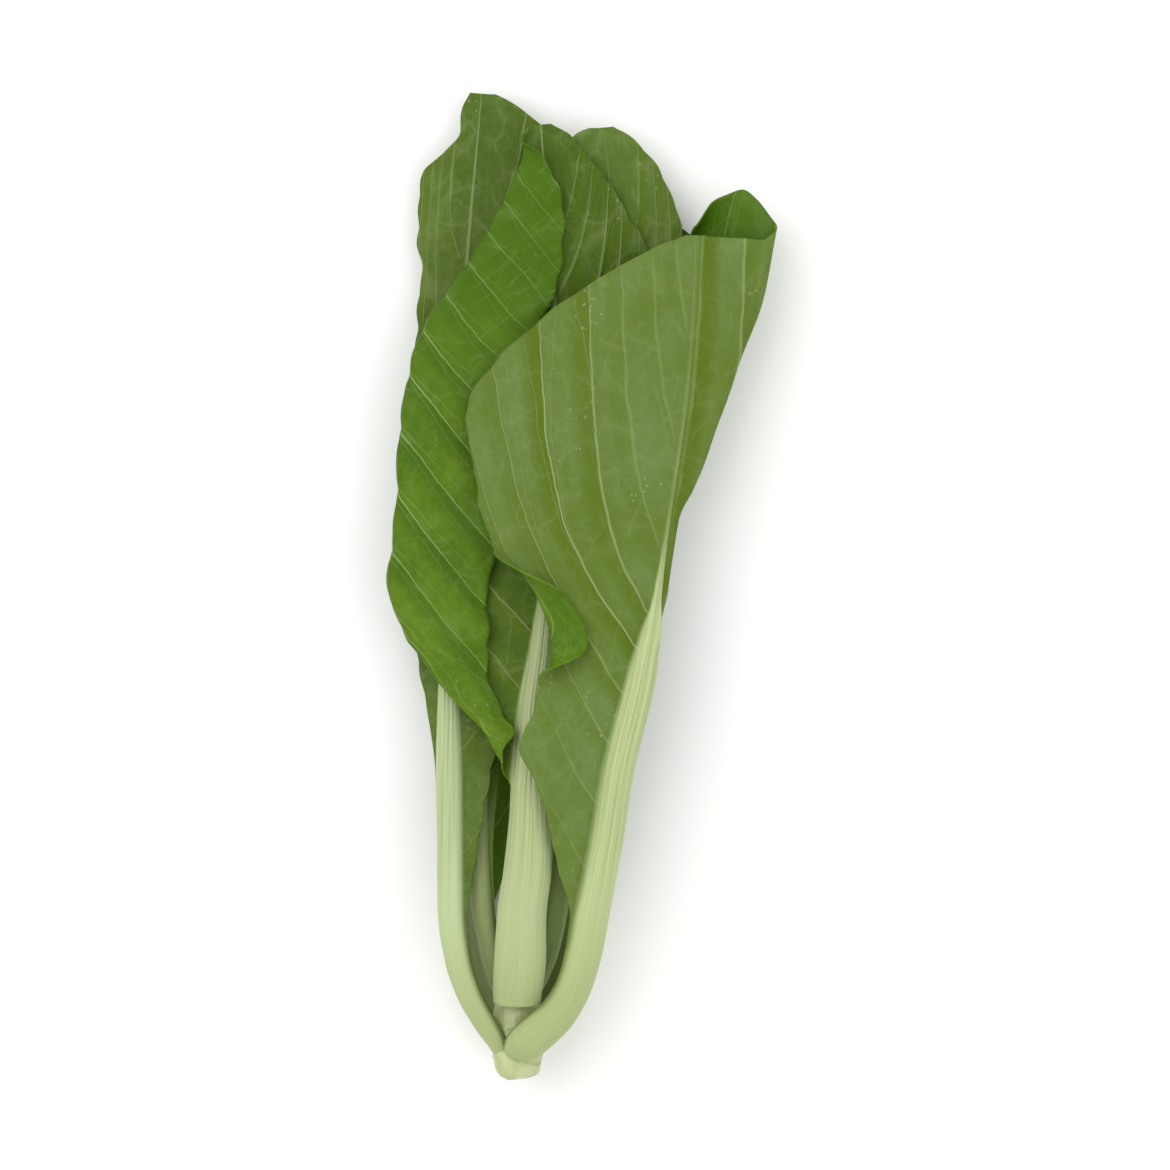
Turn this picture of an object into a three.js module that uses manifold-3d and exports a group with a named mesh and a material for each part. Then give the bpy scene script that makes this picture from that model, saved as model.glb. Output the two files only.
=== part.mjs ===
// A head of mustard greens lying on its side: a short cut stem with leaves growing round it.
// Each leaf is one solid, from the foot of its ribbed stalk to the tip of its blade.
// Units are millimetres and degrees. The head lies along Y with the leaf tips at +Y, on the plane z = 0.
import * as THREE from "three";
import { mergeVertices } from "three/addons/utils/BufferGeometryUtils.js";
import Module from "manifold-3d";

const wasm = await Module();
wasm.setup();

// Driving dimensions

const stemRadius = 7.2;
const stemTip = 35;
const stemHeight = 20; // height of the stem's axis above the table
const stemSegments = 20;
const stemCuts = [{ turn: 60, tilt: 22, depth: -0.6 }, { turn: 235, tilt: 18, depth: -0.8 }];
const stemFoot = -1.6; // the cut end's lowest point

const bladeThickness = 0.9;
const ribRoundness = 0.6; // under 1 the stalk's back is fuller than a parabola
const tipCrowding = 0.6; // 0 spaces a leaf's rows evenly, 1 crowds them most towards the tip
const marginSpread = 1.25; // over 1 a leaf's strips widen towards the margin
const foldStrips = 3;
const liftLength = 30; // the stretch of Y over which a lift comes in
const sectionSteps = 60;

// Each leaf is a sheet hung on a spine, with a rib on its outer side.
//   spine     [y, x, z, roll]: roll is the way the outer side faces, turned from straight up towards +X
//   rib       [y, half width] of the stalk, which runs on as the midrib
//   columns   the sheet's strips on each side of the spine, three of them in the fold where there is one
//   left and right are as seen with the outer side facing the eye:
//     reach   [y, distance along the sheet from the spine to the margin]
//     bow     [y, angle that the sheet has turned inwards by the time it reaches the margin]
//     fold    [y, angle of a sharp fold, at which distance from the spine]: a negative angle folds outwards
//     foldRadius  the fold's own radius
//     lift    [distance, how far the strip past the fold slides up towards the tip], from a y on
const leaves = {
  outer_leaf_right: {
    rows: 26, columns: 8, ribDepth: 0.85,
    spine: [[10, 1.4, 29, 18], [14, 6, 29.6, 30], [20, 12.2, 29.8, 39], [29, 17, 31.6, 40],
      [39, 19.9, 33.2, 38],
      [50, 22, 34.6, 36], [74, 26.6, 37, 30], [92, 29.6, 38.2, 27], [120, 36.5, 38.6, 20],
      [141, 41, 37.6, 15], [169, 45.5, 35.4, 11], [207, 51, 32.4, 8], [232, 53, 30.8, 7], [254, 54, 29, 6]],
    rib: [[10, 5.4], [14, 5.9], [20, 5.8], [50, 5.7], [92, 5.3], [120, 4.7], [133, 3.3], [146, 1.6],
      [170, 0.9], [254, 0.6]],
    left: {
      reach: [[10, 5.6], [14, 6.1], [20, 6], [30, 5.8], [48, 6.4], [64, 14], [74, 18], [86, 23.5], [94, 31],
        [103, 29], [110, 29],
        [118, 34],
        [128, 41], [141, 48], [150, 50], [158, 54], [166, 57.5], [176, 61], [196, 65.5], [213, 56.5],
        [229, 42.5], [236, 33], [245, 19.5], [250, 12], [254, 3]],
      bow: [[10, 34], [50, 30], [92, 20], [141, 24], [254, 20]],
      fold: [[110, 0, 26], [119, -120, 25], [126, -184, 26], [137, -184, 32.5], [144, -90, 39.5],
        [151, 0, 45]],
      foldRadius: 1.9,
    },
    right: {
      reach: [[10, 5.6], [14, 6.1], [30, 5.9], [100, 5], [120, 4], [140, 4.5], [152, 11], [169, 20],
        [190, 29], [218, 40],
        [236, 48], [254, 52]],
      bow: [[10, 34], [50, 30], [141, 24], [254, 20]],
      fold: [[130, 0, 0.5], [142, 66, 0.5], [150, 88, 0.5], [169, 88, 0.8], [178, 90, 3.4], [190, 92, 6.8],
        [204, 96, 9.8], [218, 102, 12], [240, 135, 19], [254, 155, 21]],
      foldRadius: 3.6,
      lift: { rise: [[21, 0], [28, 7], [33, 13], [37.5, 16], [42, 14.5], [47, 12], [52, 4]], from: 215 },
    },
  },
  outer_leaf_front: {
    rows: 28, columns: 10, ribDepth: 0.82,
    spine: [[25, 0, 28.3, 0], [30, 0.4, 31, 0], [36, 0.9, 33.2, 0], [50, 1.4, 35.2, -1],
      [63, 3.1, 35.8, -2], [76, 3.9, 35.4, -3], [90, 4.2, 34.2, -4], [111, 5.2, 31.2, -4],
      [128, 7.3, 28.8, -3], [160, 10, 25.2, -1], [207, 12, 21.4, 0], [242, 10.5, 19.8, 0], [275, 8, 19.2, 0],
      [288, 7, 19, 0]],
    rib: [[25, 7.1], [36, 7.6], [50, 7.1], [63, 6.8], [76, 6.2], [90, 5.4], [111, 4.5], [128, 3.4],
      [150, 2.3], [200, 1.5], [250, 0.9], [288, 0.6]],
    left: {
      reach: [[25, 7.3], [36, 7.9], [63, 7.3], [88, 6.2], [94, 11], [100, 18], [106, 29], [113, 43],
        [127, 65], [138, 74], [150, 78], [190, 82], [214, 83], [228, 77], [240, 64], [256, 45],
        [270, 26], [280, 13], [288, 3]],
      bow: [[25, 36], [63, 30], [90, 16], [111, 4], [288, 2]],
      fold: [[86, 0, 5.6], [94, -90, 6], [102, -165, 10], [110, -183, 20], [118, -183, 30],
        [130, -183, 39], [148, -183, 44.5], [190, -183, 44], [214, -183, 42], [228, -183, 37],
        [240, -183, 28], [256, -183, 17], [270, -183, 8], [280, -120, 4], [288, 0, 2]],
      foldRadius: 2.1,
    },
    right: {
      reach: [[25, 7.3], [36, 7.9], [63, 7.3], [90, 6.6], [105, 9], [120, 15], [140, 23], [170, 30],
        [205, 36], [235, 34], [258, 25], [275, 15], [284, 8], [288, 3]],
      bow: [[25, 36], [63, 30], [90, 16], [128, 14], [288, 12]],
    },
  },
  outer_leaf_left: {
    rows: 24, columns: 6, ribDepth: 0.85,
    spine: [[13, -6.9, 24, -60], [18, -10, 25.2, -60], [26, -14.3, 26.8, -56], [36, -17.6, 27.6, -50],
      [50, -19.6, 27.8, -40], [72, -20, 27.2, -26], [92, -20.4, 25.2, -15], [112, -20.6, 22, -9],
      [140, -20.4, 17, -6], [190, -19, 12.4, -4], [240, -16, 10.6, -3], [298, -11, 11, -3]],
    rib: [[13, 3.8], [20, 4.2], [50, 4.4], [92, 4.2], [112, 3.6], [140, 2.5], [190, 1.5], [250, 0.9],
      [298, 0.6]],
    left: {
      reach: [[13, 4], [36, 4.6], [92, 4.7], [112, 7], [140, 12], [190, 15], [240, 13.5], [263, 16],
        [273, 15], [280, 9], [286, 5.5], [294, 5], [298, 3.5]],
      bow: [[13, 38], [50, 30], [92, 20], [140, 16], [298, 14]],
    },
    right: {
      reach: [[13, 4], [36, 4.4], [48, 5], [62, 7], [80, 10], [100, 14], [130, 23], [165, 31], [205, 36],
        [245, 36], [270, 31], [285, 23], [293, 14], [298, 4]],
      bow: [[13, 38], [50, 30], [92, 20], [140, 18], [298, 16]],
    },
  },
  inner_leaf_right: {
    rows: 22, columns: 6, ribDepth: 0.8,
    spine: [[29, 6, 21.5, 70], [40, 9.5, 23.2, 55], [60, 12.6, 24.8, 38], [90, 15.4, 24, 22],
      [120, 18.4, 21.4, 12], [160, 23, 17.6, 6], [210, 28, 14.6, 3], [250, 29.5, 14, 0],
      [287.5, 26, 14.4, 0]],
    rib: [[29, 3.4], [60, 4], [90, 3.6], [120, 2.8], [160, 2], [210, 1.3], [287.5, 0.6]],
    left: {
      reach: [[29, 3.6], [60, 4.4], [80, 7], [110, 11], [150, 16], [200, 20], [240, 21], [265, 19],
        [278, 15], [285, 9], [287.5, 4]],
      bow: [[29, 34], [60, 28], [120, 14], [287.5, 10]],
    },
    right: {
      reach: [[29, 3.6], [60, 4.4], [80, 7], [110, 11], [150, 15], [200, 20], [240, 22], [258, 20],
        [270, 16], [279, 11], [285, 6], [287.5, 3]],
      bow: [[29, 34], [60, 28], [120, 14], [287.5, 14]],
    },
  },
  inner_leaf_left: {
    rows: 20, columns: 6, ribDepth: 0.8,
    spine: [[29, -6, 21.5, -65], [40, -8.6, 23, -50], [55, -10.8, 23.8, -32], [75, -12, 21.8, -18],
      [100, -12, 17.4, -8], [130, -10.4, 12.8, -4], [170, -9, 8.8, -2], [205, -8, 7.4, 0],
      [236, -8, 7, 0]],
    rib: [[29, 3.2], [55, 3.6], [75, 3.4], [100, 2.8], [130, 2.1], [170, 1.4], [236, 0.6]],
    left: {
      reach: [[29, 3.4], [55, 4], [75, 5], [100, 8], [130, 12], [170, 18], [200, 19], [220, 15], [231, 8],
        [236, 3]],
      bow: [[29, 34], [55, 28], [100, 14], [236, 6]],
    },
    right: {
      reach: [[29, 3.4], [55, 4], [75, 5], [100, 7], [130, 10], [170, 14], [200, 15], [220, 12], [231, 7],
        [236, 3]],
      bow: [[29, 34], [55, 28], [100, 14], [236, 6]],
    },
  },
  heart_leaf_large: {
    rows: 16, columns: 5, ribDepth: 0.8,
    spine: [[33, 2.2, 16.4, 165], [50, 3.4, 15.2, 168], [80, 7.4, 12.6, 172], [120, 14.8, 10.4, 176],
      [160, 23.4, 9, 178], [196, 29, 8.6, 180]],
    rib: [[33, 2.4], [80, 2.4], [120, 1.7], [196, 0.6]],
    left: {
      reach: [[33, 2.6], [70, 3.4], [100, 7], [135, 14], [165, 16], [182, 12], [192, 6], [196, 2.5]],
      bow: [[33, 24], [70, 18], [120, 6], [196, 4]],
    },
    right: {
      reach: [[33, 2.6], [70, 3.4], [100, 7], [135, 11], [165, 11], [182, 8], [192, 4.5], [196, 2.5]],
      bow: [[33, 24], [70, 18], [120, 6], [196, 4]],
    },
  },
  heart_leaf_small: {
    rows: 14, columns: 5, ribDepth: 0.8,
    spine: [[35, -0.6, 22, 0], [50, 0.4, 22, 4], [80, 3.4, 18.8, 4], [118, 7, 15.4, 2]],
    rib: [[35, 2], [60, 2], [90, 1.4], [118, 0.6]],
    left: {
      reach: [[35, 2.2], [60, 3], [80, 5.6], [98, 6.6], [110, 5], [115, 3.4], [118, 1.8]],
      bow: [[35, 24], [60, 26], [118, 20]],
    },
    right: {
      reach: [[35, 2.2], [60, 3], [80, 5.6], [98, 6.6], [110, 5], [115, 3.4], [118, 1.8]],
      bow: [[35, 24], [60, 26], [118, 20]],
    },
  },
  under_leaf_right: {
    rows: 24, columns: 6, ribDepth: 0.85,
    spine: [[12, 6.1, 14.9, 130], [22, 10.6, 11, 134], [35, 14.4, 7.6, 144], [50, 16.8, 5, 154],
      [70, 18.6, 4, 166], [100, 21, 3.4, 173], [140, 25.4, 2.2, 177], [190, 32, 1.4, 180],
      [240, 37, 1.1, 180], [264, 38, 1.1, 180]],
    rib: [[12, 4.8], [22, 5.4], [50, 5.6], [70, 5.2], [100, 4.2], [140, 2.7], [190, 1.6], [240, 1],
      [264, 0.7]],
    left: {
      reach: [[12, 5], [50, 6.2], [75, 9], [100, 12], [135, 14], [160, 16], [190, 22], [220, 28],
        [240, 26], [254, 17], [261, 8], [264, 3]],
      bow: [[12, 34], [50, 28], [100, 14], [160, 8], [264, 5]],
    },
    right: {
      reach: [[12, 5], [50, 6.2], [75, 8], [100, 11], [135, 15], [170, 20], [220, 24], [240, 21],
        [254, 14], [261, 7], [264, 3]],
      bow: [[12, 34], [50, 28], [100, 16], [160, 10], [264, 8]],
    },
  },
  under_leaf_left: {
    rows: 24, columns: 6, ribDepth: 0.85,
    spine: [[12, -5.7, 14.3, -135], [22, -9.6, 10.8, -140], [35, -12.6, 7.4, -150],
      [50, -13.6, 5, -160], [70, -13.6, 4, -170], [100, -12.6, 3.4, -175], [140, -11, 2.2, -178],
      [190, -10, 1.4, -180], [235, -10.6, 1.1, -180], [268, -11, 1.1, -180]],
    rib: [[12, 4.8], [22, 5.4], [50, 5.6], [70, 5.2], [100, 4.2], [140, 2.7], [190, 1.6], [235, 1],
      [268, 0.7]],
    left: {
      reach: [[12, 5], [50, 6.2], [62, 10], [75, 14], [100, 15], [140, 14], [190, 14], [225, 15],
        [250, 12], [263, 7], [268, 3]],
      bow: [[12, 34], [50, 28], [100, 16], [160, 8], [268, 6]],
    },
    right: {
      reach: [[12, 5], [50, 6.2], [75, 9], [100, 12], [140, 18], [190, 23], [225, 20], [248, 16], [262, 9],
        [268, 3]],
      bow: [[12, 34], [50, 28], [100, 14], [160, 8], [268, 6]],
    },
  },
};

const leafColour = new THREE.Color(0.3, 0.42, 0.13);
const stemColour = new THREE.Color(0.66, 0.7, 0.42);

// Helpers

const radians = THREE.MathUtils.degToRad;

// The value at y of a column of keyed rows: a cubic through the keys that never overshoots them.
function along(keys, y, column = 1) {
  const last = keys.length - 1;
  if (y <= keys[0][0]) return keys[0][column];
  if (y >= keys[last][0]) return keys[last][column];
  let k = 0;
  while (keys[k + 1][0] < y) k += 1;
  const slope = (i) => (keys[i + 1][column] - keys[i][column]) / (keys[i + 1][0] - keys[i][0]);
  const tangent = (i) => {
    if (i === 0) return slope(0);
    if (i === last) return slope(last - 1);
    const before = slope(i - 1);
    const after = slope(i);
    return before * after <= 0 ? 0 : (2 * before * after) / (before + after);
  };
  const span = keys[k + 1][0] - keys[k][0];
  const f = (y - keys[k][0]) / span;
  const ease = f * f * (3 - 2 * f);
  return keys[k][column] * (1 - ease) + keys[k + 1][column] * ease +
    span * (tangent(k) * f * (1 - f) * (1 - f) - tangent(k + 1) * f * f * (1 - f));
}

const smoothstep = (x) => THREE.MathUtils.smoothstep(x, 0, 1);

// The spine's point, and the leaf's own axes there: along it, to its right, and out of its outer side.
function spineFrame(leaf, y) {
  const point = (v) => new THREE.Vector3(along(leaf.spine, v, 1), v, along(leaf.spine, v, 2));
  const roll = radians(along(leaf.spine, y, 3));
  const ahead = point(y + 1).sub(point(y - 1)).normalize();
  if (y <= leaf.spine[0][0] + 1) ahead.copy(point(y + 2).sub(point(y)).normalize());
  if (y >= leaf.spine.at(-1)[0] - 1) ahead.copy(point(y).sub(point(y - 2)).normalize());
  const out = new THREE.Vector3(Math.sin(roll), 0, Math.cos(roll));
  out.addScaledVector(ahead, -out.dot(ahead)).normalize();
  const side = new THREE.Vector3().crossVectors(ahead, out);
  return { point: point(y), ahead, side, out };
}

// How far along the sheet a half's strips meet, from the spine to the margin, at y.
function stripEdges(half, columns, y) {
  const reach = along(half.reach, y);
  const strips = (count, from, to, spread) => Array.from({ length: count }, (_, k) =>
    from + (to - from) * ((k + 1) / count) ** spread);
  if (!half.fold) return [0, ...strips(columns, 0, reach, marginSpread)];
  const start = Math.min(along(half.fold, y, 2), reach * 0.8);
  const end = start + Math.min(foldLength(half, y), reach * 0.15);
  const before = Math.ceil((columns - foldStrips) * 0.55);
  const after = columns - foldStrips - before;
  return [0, ...strips(before, 0, start, marginSpread), ...strips(foldStrips, start, end, 1),
    ...strips(after, end, reach, 1)];
}

function foldLength(half, y) {
  const angle = radians(along(half.fold, y, 1));
  return Math.max(0.5, Math.abs(angle) * half.foldRadius);
}

// How far sideways and outwards the sheet has got at a distance from the spine, walking in short steps.
function section(half, y, distance) {
  const reach = along(half.reach, y);
  const bow = radians(along(half.bow, y));
  const foldTurn = (d) => half.fold ? radians(along(half.fold, y, 1)) *
    smoothstep((d - along(half.fold, y, 2)) / foldLength(half, y)) : 0;
  const step = distance / sectionSteps;
  let across = 0;
  let outwards = 0;
  for (let i = 0; i < sectionSteps; i += 1) {
    const d = step * (i + 0.5);
    const turn = (bow * d) / reach + foldTurn(d);
    across += Math.cos(turn) * step;
    outwards -= Math.sin(turn) * step;
  }
  return { across, outwards };
}

// One closed sheet from two grids of points, the outer skin and the inner skin.
function closedSheet(outer, inner) {
  const rows = outer.length;
  const columns = outer[0].length;
  const positions = [...outer.flat(), ...inner.flat()].flatMap((p) => [p.x, p.y, p.z]);
  const o = (i, j) => i * columns + j;
  const n = (i, j) => rows * columns + i * columns + j;
  const faces = [];
  const quad = (a, b, c, d) => faces.push(a, b, c, a, c, d);
  for (let i = 0; i < rows - 1; i += 1)
    for (let j = 0; j < columns - 1; j += 1) {
      quad(o(i, j), o(i, j + 1), o(i + 1, j + 1), o(i + 1, j));
      quad(n(i, j), n(i + 1, j), n(i + 1, j + 1), n(i, j + 1));
    }
  for (let i = 0; i < rows - 1; i += 1) {
    quad(o(i, 0), o(i + 1, 0), n(i + 1, 0), n(i, 0));
    quad(o(i, columns - 1), n(i, columns - 1), n(i + 1, columns - 1), o(i + 1, columns - 1));
  }
  for (let j = 0; j < columns - 1; j += 1) {
    quad(o(0, j), n(0, j), n(0, j + 1), o(0, j + 1));
    quad(o(rows - 1, j), o(rows - 1, j + 1), n(rows - 1, j + 1), n(rows - 1, j));
  }
  const geometry = new THREE.BufferGeometry();
  geometry.setAttribute("position", new THREE.Float32BufferAttribute(positions, 3));
  geometry.setIndex(faces);
  geometry.computeVertexNormals();
  return geometry;
}

// A leaf

// A row of the sheet's middle surface at y, with how far the rib stands out at each of its points.
function leafRow(leaf, y) {
  const frame = spineFrame(leaf, y);
  const ribHalf = along(leaf.rib, y);
  const edges = {
    left: stripEdges(leaf.left, leaf.columns, y),
    right: stripEdges(leaf.right, leaf.columns, y),
  };
  const row = [];
  for (let j = -leaf.columns; j <= leaf.columns; j += 1) {
    const name = j < 0 ? "left" : "right";
    const half = leaf[name];
    const distance = edges[name][Math.abs(j)];
    const { across, outwards } = section(half, y, distance);
    const point = frame.point.clone();
    point.addScaledVector(frame.side, Math.sign(j) * across);
    point.addScaledVector(frame.out, outwards);
    if (half.lift) {
      const share = smoothstep((y - half.lift.from) / liftLength);
      point.addScaledVector(frame.ahead, along(half.lift.rise, distance) * share);
    }
    const rise = Math.max(0, 1 - (distance / ribHalf) ** 2) ** ribRoundness;
    row.push({ point, rib: leaf.ribDepth * ribHalf * rise });
  }
  return row;
}

function leafGeometry(leaf) {
  const first = leaf.spine[0][0];
  const length = leaf.spine.at(-1)[0] - first;
  const rows = Array.from({ length: leaf.rows + 1 }, (_, i) => {
    const f = i / leaf.rows;
    return leafRow(leaf, first + length * (f + tipCrowding * f * (1 - f)));
  });
  const clamp = THREE.MathUtils.clamp;
  const at = (i, j) => rows[clamp(i, 0, rows.length - 1)][clamp(j, 0, rows[0].length - 1)].point;
  // A skin lies off the middle surface, and is pressed flat where it would pass through the table.
  const skin = (side, withRib, lowest) => rows.map((row, i) => row.map(({ point, rib }, j) => {
    const acrossStep = at(i, j + 1).clone().sub(at(i, j - 1));
    const aheadStep = at(i + 1, j).clone().sub(at(i - 1, j));
    const normal = acrossStep.cross(aheadStep).normalize();
    const moved = point.clone().addScaledVector(normal, side * bladeThickness / 2 + withRib * rib);
    moved.z = Math.max(moved.z, lowest);
    return moved;
  }));
  return closedSheet(skin(1, 1, 0), skin(-1, 0, bladeThickness));
}

// The cut stem

// A closed geometry as a solid: equal vertices are joined, and faces left without area are dropped.
function solidFrom(geometry) {
  geometry.deleteAttribute("normal");
  geometry.deleteAttribute("uv");
  const joined = mergeVertices(geometry);
  const faces = [];
  for (let i = 0; i < joined.index.count; i += 3) {
    const corners = [0, 1, 2].map((k) => joined.index.getX(i + k));
    if (new Set(corners).size === 3) faces.push(...corners);
  }
  return new wasm.Manifold(new wasm.Mesh({
    numProp: 3,
    vertProperties: new Float32Array(joined.attributes.position.array),
    triVerts: new Uint32Array(faces),
  }));
}

function geometryFrom(solid) {
  const mesh = solid.getMesh();
  const geometry = new THREE.BufferGeometry();
  geometry.setAttribute("position", new THREE.BufferAttribute(new Float32Array(mesh.vertProperties), 3));
  geometry.setIndex(new THREE.BufferAttribute(new Uint32Array(mesh.triVerts), 1));
  geometry.computeVertexNormals();
  return geometry;
}

// A stub that narrows to a growing tip, with knife cuts across its lower end.
function stemGeometry() {
  const r = stemRadius;
  const profile = [[0, stemFoot], [r * 0.58, stemFoot], [r * 0.82, 0.4], [r * 0.95, 3], [r, 7], [r, 19],
    [r * 0.78, 26],
    [r * 0.5, 32], [0, stemTip]].map(([radius, y]) => new THREE.Vector2(radius, y));
  let stem = solidFrom(new THREE.LatheGeometry(profile, stemSegments));
  const block = 60;
  for (const { turn, tilt, depth } of stemCuts) {
    const knife = new THREE.BoxGeometry(block, block, block);
    knife.translate(0, depth - block / 2, 0).rotateX(radians(tilt)).rotateY(radians(turn));
    stem = stem.subtract(solidFrom(knife));
  }
  return geometryFrom(stem).translate(0, 0, stemHeight);
}

// The head

const head = new THREE.Group();
head.name = "mustard_greens";

function addPiece(name, geometry, colour, roughness) {
  const material = new THREE.MeshStandardMaterial({ color: colour, roughness, metalness: 0 });
  const mesh = new THREE.Mesh(geometry, material);
  mesh.name = name;
  head.add(mesh);
}

addPiece("cut_stem", stemGeometry(), stemColour, 0.55);
for (const [name, leaf] of Object.entries(leaves)) addPiece(name, leafGeometry(leaf), leafColour, 0.6);

// The origin is at the middle of the head's own box, on the table.
const box = new THREE.Box3().setFromObject(head);
const centre = box.getCenter(new THREE.Vector3());
head.position.set(-centre.x, -centre.y, -box.min.z);

export default head;
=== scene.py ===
import math
import bpy
import numpy as np
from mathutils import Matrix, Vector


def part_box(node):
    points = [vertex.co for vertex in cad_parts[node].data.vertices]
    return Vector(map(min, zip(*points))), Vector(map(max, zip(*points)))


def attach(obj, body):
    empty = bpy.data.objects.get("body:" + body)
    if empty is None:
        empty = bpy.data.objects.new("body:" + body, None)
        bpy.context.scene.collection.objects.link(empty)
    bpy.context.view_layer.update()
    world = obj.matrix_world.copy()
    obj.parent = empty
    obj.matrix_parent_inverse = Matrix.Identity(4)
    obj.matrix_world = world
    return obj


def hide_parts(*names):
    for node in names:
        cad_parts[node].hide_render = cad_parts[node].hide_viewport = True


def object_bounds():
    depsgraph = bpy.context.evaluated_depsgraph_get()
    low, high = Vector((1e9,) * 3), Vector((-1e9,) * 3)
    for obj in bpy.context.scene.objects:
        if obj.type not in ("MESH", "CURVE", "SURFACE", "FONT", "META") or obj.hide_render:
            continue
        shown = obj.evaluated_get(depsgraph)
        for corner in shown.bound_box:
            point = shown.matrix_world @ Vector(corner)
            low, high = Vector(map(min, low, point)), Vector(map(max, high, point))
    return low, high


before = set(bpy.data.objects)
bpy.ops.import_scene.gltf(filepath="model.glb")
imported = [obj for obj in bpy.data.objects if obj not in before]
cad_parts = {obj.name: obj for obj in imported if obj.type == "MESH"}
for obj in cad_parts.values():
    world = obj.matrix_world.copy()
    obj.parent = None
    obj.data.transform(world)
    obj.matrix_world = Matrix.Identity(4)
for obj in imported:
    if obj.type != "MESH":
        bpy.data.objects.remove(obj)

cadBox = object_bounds()
mm = 0.001

# The head is drawn in its own millimetres: x = 0 on the stem's axis, y = 0 at the cut end, z = 0 on the table.
stemLow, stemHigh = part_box("cut_stem")
stemTip = 35
headPlace = np.array([(stemLow[0] + stemHigh[0]) / 2, stemHigh[1] - stemTip * mm, 0])


def deselectAll():
    for thing in bpy.context.selected_objects:
        thing.select_set(False)


# Node helpers: a link is made by giving a socket where a value would go.
def addNode(tree, kind, inputs=None, **settings):
    made = tree.nodes.new(kind)
    for name, value in settings.items():
        setattr(made, name, value)
    for key, value in (inputs or {}).items():
        if isinstance(value, bpy.types.NodeSocket):
            tree.links.new(value, made.inputs[key])
        else:
            made.inputs[key].default_value = value
    return made


def maths(tree, operation, a, b=0.0, clamp=False):
    return addNode(tree, "ShaderNodeMath", {0: a, 1: b}, operation=operation, use_clamp=clamp).outputs[0]


def ramp(tree, value, fromLow, fromHigh, toLow=0.0, toHigh=1.0):
    made = addNode(tree, "ShaderNodeMapRange", {0: value, 1: fromLow, 2: fromHigh, 3: toLow, 4: toHigh})
    made.interpolation_type = "SMOOTHSTEP"
    return made.outputs[0]


def blend(tree, share, first, second):
    made = addNode(tree, "ShaderNodeMix", data_type="RGBA", blend_type="MIX")
    for place, value in ((0, share), (6, first), (7, second)):
        if isinstance(value, bpy.types.NodeSocket):
            tree.links.new(value, made.inputs[place])
        else:
            made.inputs[place].default_value = value if place == 0 else (*value, 1)
    return made.outputs[2]


def stretched(tree, vector, scale):
    return addNode(tree, "ShaderNodeMapping", {"Vector": vector, "Scale": scale}).outputs[0]


def noise(tree, vector, scale, detail=3.0, roughness=0.5):
    made = addNode(tree, "ShaderNodeTexNoise", {"Vector": vector, "Scale": scale, "Detail": detail})
    made.inputs["Roughness"].default_value = roughness
    return made.outputs["Fac"]


def newGroup(name, inputs, outputs):
    group = bpy.data.node_groups.new(name, "ShaderNodeTree")
    for label, kind in inputs:
        group.interface.new_socket(name=label, in_out="INPUT", socket_type="NodeSocket" + kind)
    for label, kind in outputs:
        group.interface.new_socket(name=label, in_out="OUTPUT", socket_type="NodeSocket" + kind)
    return group, group.nodes.new("NodeGroupInput").outputs, group.nodes.new("NodeGroupOutput")


def useGroup(tree, group, inputs):
    made = tree.nodes.new("ShaderNodeGroup")
    made.node_tree = group
    for label, value in inputs.items():
        if isinstance(value, bpy.types.NodeSocket):
            tree.links.new(value, made.inputs[label])
        else:
            made.inputs[label].default_value = value
    return made.outputs


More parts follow.
